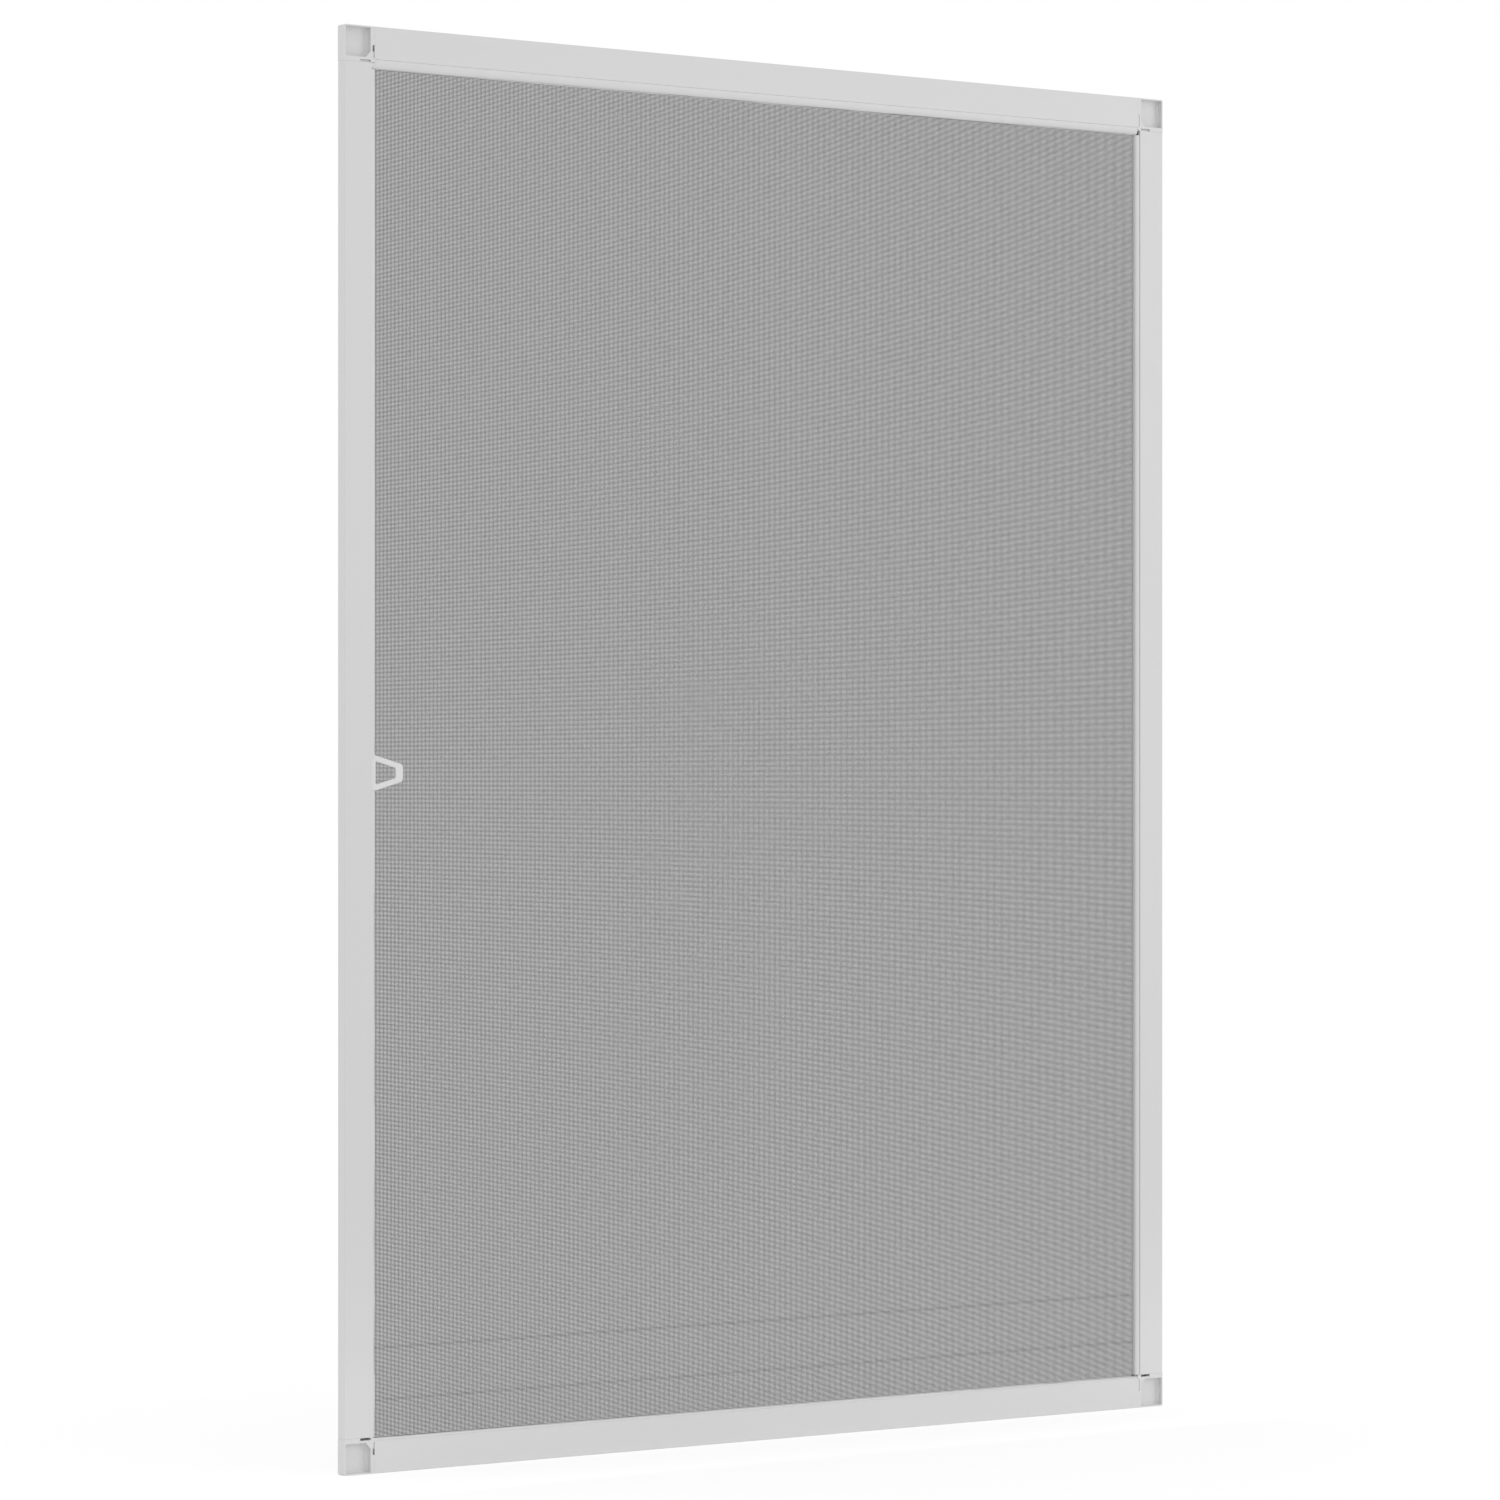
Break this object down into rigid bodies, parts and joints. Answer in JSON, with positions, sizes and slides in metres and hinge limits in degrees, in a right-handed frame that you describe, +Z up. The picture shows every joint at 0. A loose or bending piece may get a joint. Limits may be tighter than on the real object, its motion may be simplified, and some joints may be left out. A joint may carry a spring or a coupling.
{
  "type": "window screen frame",
  "caption": "Rectangular insect screen panel: slim hollow bars joined by square corner connectors, a stretched mesh held by splines, and a small pull tab at one side.",
  "frame": {"origin": "middle of the bottom edge, half way through the thickness", "axes": "+Z up along the stiles, +X to the right along the rails, -Y towards the room, where the pull tab's flat side and the sunken corners face"},
  "size_m": [0.9, 0.01, 1.2],
  "materials": {
    "powder_coat": "pale powder coat, satin",
    "connector_plastic": "moulded, satin",
    "spline_vinyl": "extruded, soft satin",
    "mesh_yarn": "coated glass yarn, matte",
    "tab_plastic": "moulded, satin"
  },
  "bodies": {
    "root": {"left_stile": "powder_coat", "right_stile": "powder_coat", "top_rail": "powder_coat", "bottom_rail": "powder_coat", "corner_connector_top_left": "connector_plastic", "corner_connector_top_right": "connector_plastic", "corner_connector_bottom_left": "connector_plastic", "corner_connector_bottom_right": "connector_plastic", "left_spline": "spline_vinyl", "right_spline": "spline_vinyl", "top_spline": "spline_vinyl", "bottom_spline": "spline_vinyl", "screen_mesh": "mesh_yarn", "pull_tab": "tab_plastic"}
  },
  "joints": []
}
